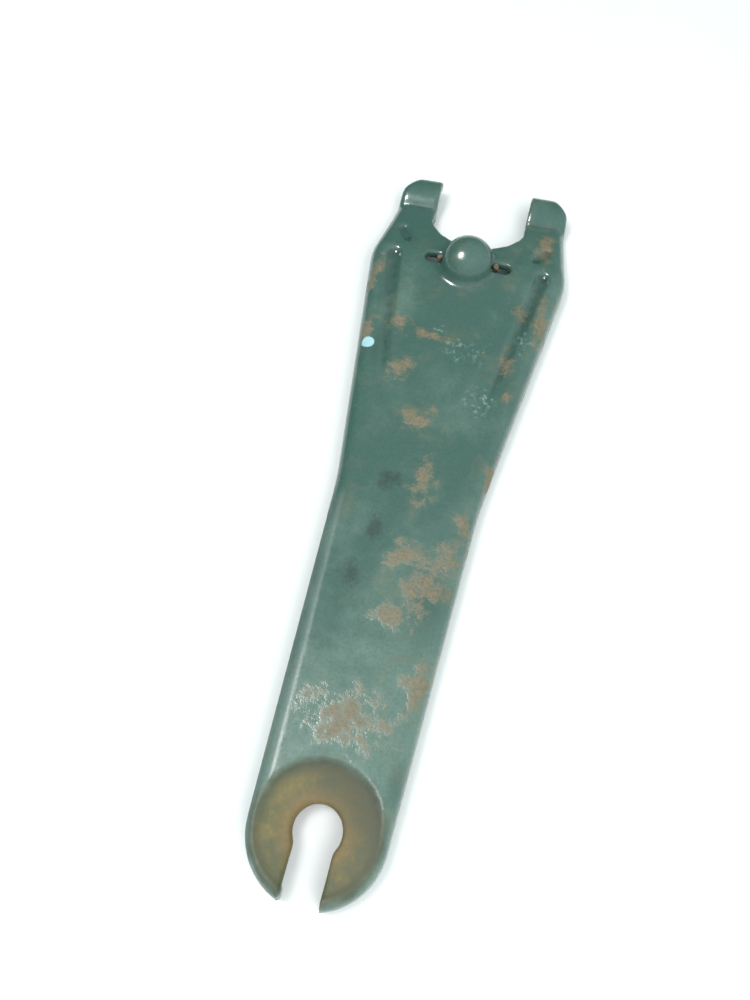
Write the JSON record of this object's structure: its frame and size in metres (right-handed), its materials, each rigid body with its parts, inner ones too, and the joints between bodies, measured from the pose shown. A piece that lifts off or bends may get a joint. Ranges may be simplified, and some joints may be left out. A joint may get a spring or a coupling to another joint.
{
  "type": "clutch release fork",
  "caption": "Pressed-steel lever with two fingers and curled contact pads, a domed ball pivot with a wire retaining spring, and a dished keyhole seat for a cable.",
  "frame": {"origin": "bottom centre of the whole fork, on the plane of its flange rims", "axes": "+Y along the arm to the two fingers, +X across the arm, +Z out of the face that carries the pivot dome"},
  "size_m": [0.0862, 0.3064, 0.0248],
  "materials": {
    "painted_steel": "worn satin grey-green paint with rust",
    "spring_steel": "lightly rusted wire"
  },
  "bodies": {
    "fork": {"release_lever": "painted_steel"},
    "spring": {"ball_retaining_spring": "spring_steel"}
  },
  "joints": [
    {"name": "spring_flex", "type": "hinge", "parent": "fork", "child": "spring", "pos_m": [0, 0.10505, 0.0064], "axis": [1, 0, 0], "range_deg": [0, 8], "stiffness_Nm_per_rad": 0.02}
  ]
}
